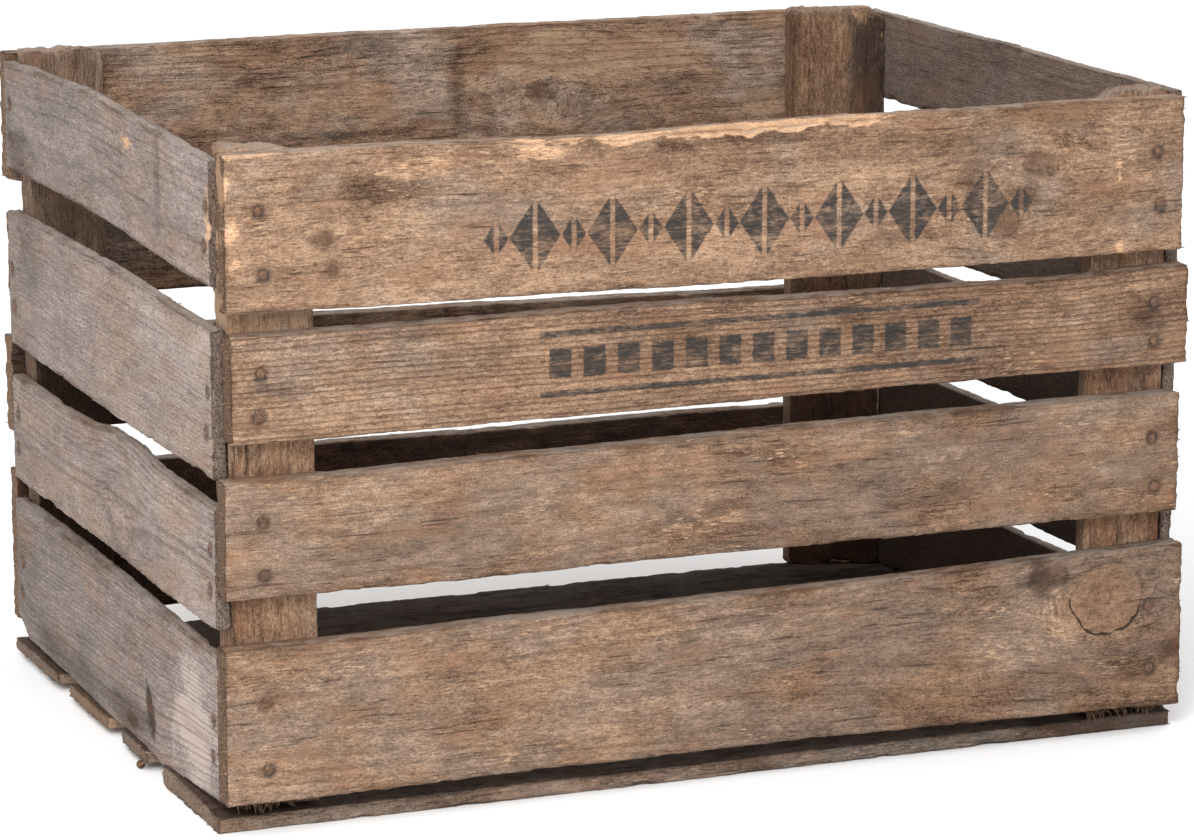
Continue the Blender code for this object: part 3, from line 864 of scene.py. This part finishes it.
slat("left", 4, 304, (-20, -50), 2.0, light=(0.4, -0.3), weather=0.7, bold=0.6, taper=0.03,
     shape=worn_corners,
     top=[(0, -6.0), (30, -5.5), (92, -4.5), (172, -3.0), (212, -2.5), (300, -3.0)],
     bottom=[(0, 3.5), (70, 0), (92, -3), (112, 0), (180, 0), (250, 1.8), (330, 3)],
     stains=[
      ("light", 40, 31, 36, 32, 2.1), ("weather", 50, 36, 54, 50, 1.0), ("rust", 110, 27, 5, 8, 2.6),
      ("rust", 104, 17, 5, 8, 2.6), ("rust", 137, 9, 9, 4, 1.4), ("soil", 106, 21, 8, 14, 0.40),
      ("soil", 140, 12, 50, 12, 0.55), ("soil", 260, 10, 70, 12, 0.5), ("weather", 230, 20, 110, 26, 1.2)])
for number in range(1, 6):
    slat("right", number, 400 + number, (15 * number, -42), 1.9, light=(0.1, 0.1), soil=0.5)


def floor_board(number):
    """A floor board with two nails at each end."""
    board = Board(f"floor_board_{number}", WALL_AXES["floor"], 500 + number)
    grain, rings = grain_fields(board, (12 * number, -45), 2.3, 0.01, 1.6)
    board.wear(chips=1.2, ends=0.8)
    u, v, w = board.rest.T
    length, width, thick = board.size
    for nail_u in (mm(11), length - mm(11)):
        for share in (0.28, 0.72):
            nails["floor"].append((board, nail_u, width * share))
            board.dent(nail_u, width * share)
    if number == 1:  # its front edge is planed thinner and its right front corner is worn
        board.points[:, 2] += mm(2.2) * (smooth(v, mm(40), 0) * (1 - w / thick))
        board.points[:, 0] -= mm(2) * smooth(u, length - mm(12), length) * smooth(v, mm(14), 0)
    else:  # the others are worn thin at their left ends
        board.points[:, 2] -= mm(3.5) * smooth(u, mm(45), mm(5)) * w / thick
    if number == 3:  # freshly broken and rusty at its left end
        left_end = np.exp(-u / mm(14))
        board.marks["raw"] += 0.9 * left_end
        board.marks["rust"] += 0.5 * left_end
    finish_board(board, "floor", grain, rings, 20, light=(0.6, -1.6), weather=0.4, soil=0.35, low_soil=0.9)


for number in range(1, 5):
    floor_board(number)


def post(name, seed, thick, thin, thin_right, worn_corner, light, soil, weather=0.0):
    """A wedge-section corner post: thick beside the end slats, thin at its inner arris.

    thick and thin are in millimetres.  worn_corner says from where to where across the post its
    top slopes down.
    """
    thick, thin = mm(thick), mm(thin)
    wall = "post_front" if name.startswith("front") else "post_back"
    board = Board(f"corner_post_{name}", WALL_AXES[wall], seed)
    grain, rings = grain_fields(board, (60, -25), 2.3, 0.008, 1.2)
    board.wear(0.5, 1.3, 2.0)
    share = board.rest[:, 1] / board.size[1]
    depth = thick + (thin - thick) * (share if thin_right else 1 - share)
    full = board.size[2]
    board.points[:, 2] = full - (full - board.points[:, 2]) * depth / full
    top = smooth(board.rest[:, 0], board.size[0] - mm(14), board.size[0])
    lumps = np.abs(noise(board.rest * [0, 1, 1], (1, 0.016, 0.012), seed + 60, 2))
    board.points[:, 0] -= top * (lumps * mm(1.2) + smooth(share, *worn_corner) * mm(4.5))
    if name == "back_right":  # a dark grey streak beside its thick arris, and a raw corner
        board.stain("light", 290, 38, 120, 11, -1.6, True)
        board.stain("weather", 290, 38, 120, 11, 2.0, True)
        board.stain("soil", 290, 40, 120, 8, 0.35, True)
        board.stain("raw", 306, 36, 6, 10, 0.7, True)
    finish_board(board, "post", grain, rings, 12, 0.0, light, weather, soil=soil, pale_top=True)


post("front_left", 601, 20, 9, True, (0.5, 1.0), (-0.6, 1.5), 0.3)
post("front_right", 602, 22, 9, False, (0.45, 0.0), (-0.1, -0.1), 0.3)
post("back_left", 603, 21, 8, True, (0.7, 1.1), (-0.1, 0.1), 0.1, 0.9)
post("back_right", 604, 27, 9, False, (0.75, 1.1), (0.0, -0.1), 0.25)


def frayed_foot(name, seed, count, spread, lengths):
    """Loose fibres that spread forwards over the floor board from a front post's foot."""
    low, _ = corners(f"corner_post_{name}")
    chance = np.random.default_rng(seed)
    meshes, grain = [], []
    for _ in range(count):
        root = np.array([chance.uniform(low[0] + mm(1), low[0] + spread), low[1] + mm(0.5), 0.0])
        root[2] = low[2] + chance.uniform(mm(0.8), mm(4.5))
        way = np.array([chance.normal() * 0.35, -1.0, chance.uniform(-0.8, -0.1)])
        length, width = mm(chance.uniform(*lengths)), mm(chance.uniform(0.6, 1.8))
        p, q = sliver(root, way, np.array([0.0, -0.3, -1.0]), length, width, mm(0.6))
        over_edge = p[:, 1] < low[1] - mm(2.2)
        p[:, 2] = np.maximum(p[:, 2], np.where(over_edge, mm(2), low[2] + mm(0.3)))
        meshes.append((p, q))
        grain.append(p[:, [1, 0, 2]] + chance.uniform(-1, 1, 3))
    points, quads = join(meshes)
    flat, zeros = np.zeros((len(points), 3)), np.zeros(len(points))
    looks = np.stack([chance.uniform(*span, count) for span in ((-1.2, 0.6), (0, 1), (0, 0.5))], 1)
    fields = {"grain": np.concatenate(grain), "rings": zeros, "marks": flat, "state": flat, "face": zeros,
              "tone": np.repeat(looks, SLIVER_STEPS * 4, axis=0), "crack": flat + [1, 0, 0]}
    make_object(f"frayed_foot_{name}", points, quads, WOODS["post"], [], fields)


frayed_foot("front_left", 651, 45, mm(26), (3, 7))
frayed_foot("front_right", 652, 130, mm(40), (4, 10))

# ---- Nails

HEAD_RADIUS, HEAD_RISE, SHANK_RADIUS = mm(2.2), mm(0.5), mm(1.1)
WALL_SINK, FLOOR_SINK = mm(0.3), mm(1.0)  # how deep the heads are hammered in
NAIL_SIDES, WIRE_SIDES = 14, 10


def nail_mesh(board, u, v, sink, chance):
    """A hammered head with a short shank, closed, on the board's outer face."""
    face, sides = board.size[2] - sink, NAIL_SIDES
    profile = [(0, HEAD_RISE), (0.55, HEAD_RISE * 0.92), (0.9, HEAD_RISE * 0.6), (1.0, HEAD_RISE * 0.15),
               (0.96, -mm(0.5)), (SHANK_RADIUS / HEAD_RADIUS, -mm(0.7)), (SHANK_RADIUS / HEAD_RADIUS, -mm(4)),
               (0, -mm(4.4))]
    radius = HEAD_RADIUS * chance.uniform(0.88, 1.1)
    tilt = chance.normal(size=2) * 0.10
    local, quads = [], []
    for ring, (share, rise) in enumerate(profile):
        for k in range(sides):
            angle = 2 * math.pi * k / sides
            wobble = 1 + 0.05 * math.sin(3 * angle + ring) + chance.normal() * 0.02
            du = radius * share * wobble * math.cos(angle)
            dv = radius * share * wobble * math.sin(angle)
            local.append((u + du, v + dv, face + rise + du * tilt[0] + dv * tilt[1]))
            if ring:
                a, b = (ring - 1) * sides + k, (ring - 1) * sides + (k + 1) % sides
                quads.append([a, a + sides, b + sides, b])
    quads = np.array(quads)
    return board.to_crate(local), (quads[:, ::-1] if board.flip else quads)


for wall, places in nails.items():
    chance = np.random.default_rng(len(wall) * 31)
    sink = FLOOR_SINK if wall == "floor" else WALL_SINK
    points, quads = join([nail_mesh(board, u, v, sink, chance) for board, u, v in places])
    nodes = [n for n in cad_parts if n.startswith(f"nail_{wall}_")]
    make_object(f"nails_{wall}", points, quads, STEEL, nodes)


def bent_nail(way, radius, head_radius):
    """A nail that missed the wood: a wire along the given points, with a flat head at its end."""
    sides = WIRE_SIDES
    way = np.array(way)
    lengths = np.concatenate([[0], np.cumsum(np.linalg.norm(np.diff(way, axis=0), axis=1))])
    places = np.linspace(0, lengths[-1], 12)
    line = np.stack([np.interp(places, lengths, way[:, k]) for k in range(3)], 1)
    line[1:-1] = (line[:-2] + 2 * line[1:-1] + line[2:]) / 4
    last = line[-1] - line[-2]
    last /= np.linalg.norm(last)
    line = np.concatenate([line[:1], line, [line[-1] + last * mm(rise) for rise in (0, 0.7, 0.9)]])
    radii = np.concatenate([[0, radius * 0.8], np.full(11, radius), [head_radius, head_radius, 0]])
    points, quads = [], []
    side = np.array([1.0, 0.0, 0.0])
    for k, (centre, r) in enumerate(zip(line, radii)):
        forward = line[min(k + 1, len(line) - 1)] - line[max(k - 1, 0)]
        across = np.cross(forward / np.linalg.norm(forward), side)
        for step in range(sides):
            angle = 2 * math.pi * step / sides
            points.append(centre + r * (math.cos(angle) * side + math.sin(angle) * across))
            if k:
                a, b = (k - 1) * sides + step, (k - 1) * sides + (step + 1) % sides
                quads.append([a, b, b + sides, a + sides])
    make_object("bent_nail", np.array(points), np.array(quads), STEEL, [])


BENT_X = -mm(248)
bent_nail([(-mm(238), -mm(71), mm(10)), (BENT_X, -mm(70), mm(10)), (BENT_X, -mm(67), mm(7.5)),
           (BENT_X, -mm(62), mm(4.5)), (BENT_X, -mm(57), mm(2.4))], mm(0.8), mm(2.2))

# ---- Studio: floor, light and camera

FLOOR_HALF, FLOOR_ALBEDO = 20.0, 0.88
WORLD_STRENGTH = 1.15
KEY_PLACE, KEY_TARGET, KEY_SIZE, KEY_POWER = (-1.25, -2.0, 1.55), (0, 0, 0.15), 1.2, 60
CAMERA_PLACE = (-0.8861, -2.2219, 0.6488)
YAW, PITCH, ROLL = math.radians(22.0), math.radians(-12.02), math.radians(0.09)
LENS, SENSOR = 146.83, 36.0  # in millimetres

floor_mesh = bpy.data.meshes.new("studio_floor")
rim = [(-FLOOR_HALF, -FLOOR_HALF, 0), (FLOOR_HALF, -FLOOR_HALF, 0), (FLOOR_HALF, FLOOR_HALF, 0),
       (-FLOOR_HALF, FLOOR_HALF, 0)]
floor_mesh.from_pydata(rim, [], [(0, 1, 2, 3)])
place_object("studio_floor", floor_mesh)
paper = rgb([FLOOR_ALBEDO] * 3)
floor_mesh.materials.append(
    Shader("studio_paper").finish({"Base Color": paper, "Roughness": 1.0, "Specular IOR Level": 0.0}))

lamp = bpy.data.lights.new("key", "AREA")
lamp.shape = "DISK"
lamp.size = KEY_SIZE
lamp.energy = KEY_POWER
key = place_object("key", lamp)
key.location = KEY_PLACE
away = np.array(KEY_PLACE) - np.array(KEY_TARGET)
tilt = math.acos(away[2] / np.linalg.norm(away))
key.rotation_euler = (tilt, 0, math.atan2(away[1], away[0]) + math.pi / 2)

world = bpy.data.worlds.new("studio_world")
world.use_nodes = True
background = world.node_tree.nodes["Background"].inputs
background["Color"].default_value = (1, 1, 1, 1)
background["Strength"].default_value = WORLD_STRENGTH
bpy.context.scene.world = world
bpy.context.scene.view_settings.view_transform = "Standard"

camera_data = bpy.data.cameras.new("camera")
camera_data.lens = LENS
camera_data.sensor_width = SENSOR
camera_data.clip_end = 100
camera = place_object("camera", camera_data)
camera.location = CAMERA_PLACE
camera.rotation_euler = (math.pi / 2 + PITCH, ROLL, -YAW)
bpy.context.scene.camera = camera
